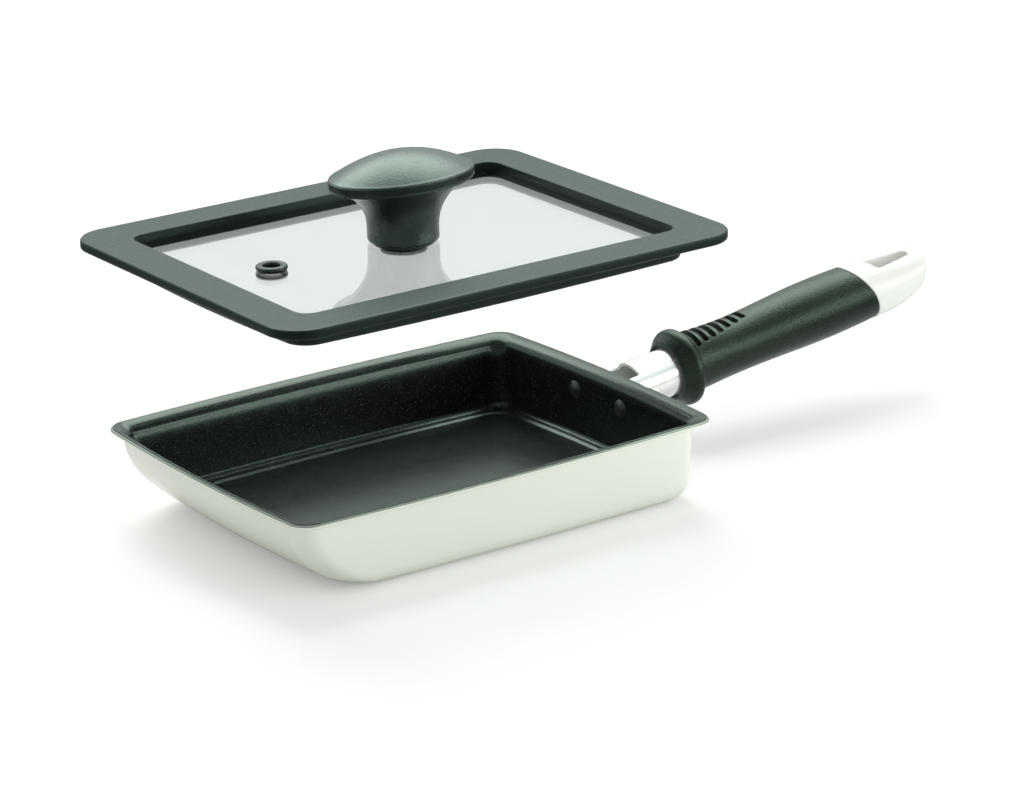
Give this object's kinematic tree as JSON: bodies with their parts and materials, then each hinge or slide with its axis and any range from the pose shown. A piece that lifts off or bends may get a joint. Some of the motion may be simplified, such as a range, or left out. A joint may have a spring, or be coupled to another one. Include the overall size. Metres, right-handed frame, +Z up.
{
  "type": "tamagoyaki pan with lid",
  "caption": "Rectangular rolled-omelette pan with a scooped far wall, a riveted handle with a grooved rubber grip and a hanging hole, and a raised glass lid with a vent and an oval knob.",
  "frame": {"origin": "centre of the base, under the middle of the rim, on the surface that the pan stands on", "axes": "+X from the pan towards the handle's tail, +Y across the pan, +Z up"},
  "size_m": [0.3532, 0.156, 0.1407],
  "materials": {
    "enamel": "gloss enamel on pressed aluminium",
    "nonstick": "satin coating with fine flecks",
    "coated_rivet": "satin",
    "polished_steel": "polished",
    "plain_steel": "brushed",
    "brass": "plain",
    "white_plastic": "gloss",
    "grip_rubber": "fine grain",
    "lid_silicone": "matt",
    "glass": "clear",
    "black_rubber": "matt",
    "knob_plastic": "fine grain"
  },
  "bodies": {
    "pan": {"pan_body": "enamel", "nonstick_coating": "nonstick", "rivets": "coated_rivet", "handle_bracket": "polished_steel", "bracket_cover": "polished_steel", "bolt_washer": "plain_steel", "handle_bolt": "plain_steel", "core_insert": "brass", "handle_core": "white_plastic", "grip_sleeve": "grip_rubber"},
    "lid": {"lid_frame": "lid_silicone", "glass_pane": "glass", "vent_grommet": "black_rubber", "knob": "knob_plastic", "knob_insert": "brass", "knob_gasket": "black_rubber", "glass_bush": "black_rubber", "knob_washer": "plain_steel", "washer_seal": "black_rubber", "knob_screw": "plain_steel"}
  },
  "joints": [
    {"name": "lid_lift", "type": "slide", "parent": "pan", "child": "lid", "axis": [0, 0, 1], "range_m": [-0.0707, 0.03]}
  ]
}
